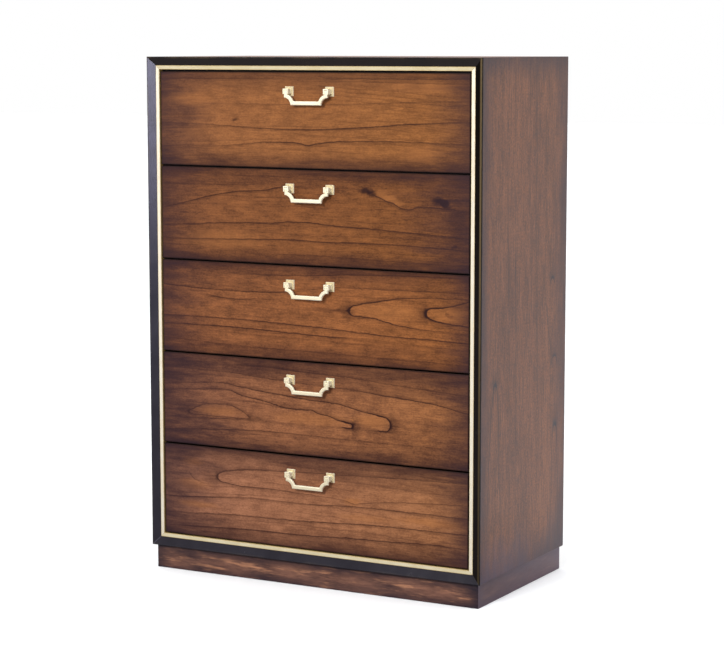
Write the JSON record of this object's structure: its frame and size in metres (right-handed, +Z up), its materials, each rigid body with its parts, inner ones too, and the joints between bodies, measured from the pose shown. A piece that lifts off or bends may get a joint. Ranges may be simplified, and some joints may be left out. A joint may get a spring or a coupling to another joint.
{
  "type": "tall chest of drawers",
  "caption": "Tall chest with full-width drawers in a mitred case, black bevelled frame with brass trim, square-rosette bail pulls, recessed plinth.",
  "frame": {"origin": "on the floor, under the middle of the whole chest with its pulls", "axes": "+X to the right as seen from the front, +Y to the back, +Z up"},
  "size_m": [0.9144, 0.495, 1.28],
  "materials": {
    "veneer": "satin lacquer over burnished walnut-brown veneer, grain upright",
    "drawer_face": "satin lacquer over walnut-brown veneer with dark burnished edges, grain across",
    "black_moulding": "satin black lacquer",
    "brass_trim": "brushed and lacquered",
    "pull_brass": "polished and lacquered",
    "plinth_wood": "satin lacquer, dark burnished edges",
    "drawer_wood": "clear sealed hardwood",
    "drawer_sheet": "clear sealed plywood",
    "frame_wood": "bare hardwood",
    "back_sheet": "stained plywood"
  },
  "bodies": {
    "case": {"left_side_panel": "veneer", "right_side_panel": "veneer", "top_panel": "veneer", "bottom_panel": "veneer", "back_panel": "back_sheet", "frame_moulding_left": "black_moulding", "frame_moulding_right": "black_moulding", "frame_moulding_top": "black_moulding", "frame_moulding_bottom": "black_moulding", "brass_trim_left": "brass_trim", "brass_trim_right": "brass_trim", "brass_trim_top": "brass_trim", "brass_trim_bottom": "brass_trim", "web_frames": "frame_wood", "centre_guides": "frame_wood", "plinth_front": "plinth_wood", "plinth_left": "plinth_wood", "plinth_right": "plinth_wood", "plinth_back": "plinth_wood", "plinth_corner_blocks": "frame_wood"},
    "drawer_1": {"drawer_1_front": "drawer_face", "drawer_1_left_side": "drawer_wood", "drawer_1_right_side": "drawer_wood", "drawer_1_back": "drawer_wood", "drawer_1_bottom": "drawer_sheet", "drawer_1_guide": "drawer_wood", "drawer_1_pull_posts": "pull_brass"},
    "bail_1": {"drawer_1_bail": "pull_brass"},
    "drawer_2": {"drawer_2_front": "drawer_face", "drawer_2_left_side": "drawer_wood", "drawer_2_right_side": "drawer_wood", "drawer_2_back": "drawer_wood", "drawer_2_bottom": "drawer_sheet", "drawer_2_guide": "drawer_wood", "drawer_2_pull_posts": "pull_brass"},
    "bail_2": {"drawer_2_bail": "pull_brass"},
    "drawer_3": {"drawer_3_front": "drawer_face", "drawer_3_left_side": "drawer_wood", "drawer_3_right_side": "drawer_wood", "drawer_3_back": "drawer_wood", "drawer_3_bottom": "drawer_sheet", "drawer_3_guide": "drawer_wood", "drawer_3_pull_posts": "pull_brass"},
    "bail_3": {"drawer_3_bail": "pull_brass"},
    "drawer_4": {"drawer_4_front": "drawer_face", "drawer_4_left_side": "drawer_wood", "drawer_4_right_side": "drawer_wood", "drawer_4_back": "drawer_wood", "drawer_4_bottom": "drawer_sheet", "drawer_4_guide": "drawer_wood", "drawer_4_pull_posts": "pull_brass"},
    "bail_4": {"drawer_4_bail": "pull_brass"},
    "drawer_5": {"drawer_5_front": "drawer_face", "drawer_5_left_side": "drawer_wood", "drawer_5_right_side": "drawer_wood", "drawer_5_back": "drawer_wood", "drawer_5_bottom": "drawer_sheet", "drawer_5_guide": "drawer_wood", "drawer_5_pull_posts": "pull_brass"},
    "bail_5": {"drawer_5_bail": "pull_brass"}
  },
  "joints": [
    {"name": "drawer_1_slide", "type": "slide", "parent": "case", "child": "drawer_1", "axis": [0, -1, 0], "range_m": [0, 0.33]},
    {"name": "bail_1_swing", "type": "hinge", "parent": "drawer_1", "child": "bail_1", "pos_m": [0, -0.24425, 1.199], "axis": [-1, 0, 0], "range_deg": [0, 85]},
    {"name": "drawer_2_slide", "type": "slide", "parent": "case", "child": "drawer_2", "axis": [0, -1, 0], "range_m": [0, 0.33]},
    {"name": "bail_2_swing", "type": "hinge", "parent": "drawer_2", "child": "bail_2", "pos_m": [0, -0.24425, 0.9681], "axis": [-1, 0, 0], "range_deg": [0, 85]},
    {"name": "drawer_3_slide", "type": "slide", "parent": "case", "child": "drawer_3", "axis": [0, -1, 0], "range_m": [0, 0.33]},
    {"name": "bail_3_swing", "type": "hinge", "parent": "drawer_3", "child": "bail_3", "pos_m": [0, -0.24425, 0.7372], "axis": [-1, 0, 0], "range_deg": [0, 85]},
    {"name": "drawer_4_slide", "type": "slide", "parent": "case", "child": "drawer_4", "axis": [0, -1, 0], "range_m": [0, 0.33]},
    {"name": "bail_4_swing", "type": "hinge", "parent": "drawer_4", "child": "bail_4", "pos_m": [0, -0.24425, 0.5063], "axis": [-1, 0, 0], "range_deg": [0, 85]},
    {"name": "drawer_5_slide", "type": "slide", "parent": "case", "child": "drawer_5", "axis": [0, -1, 0], "range_m": [0, 0.33]},
    {"name": "bail_5_swing", "type": "hinge", "parent": "drawer_5", "child": "bail_5", "pos_m": [0, -0.24425, 0.2754], "axis": [-1, 0, 0], "range_deg": [0, 85]}
  ]
}
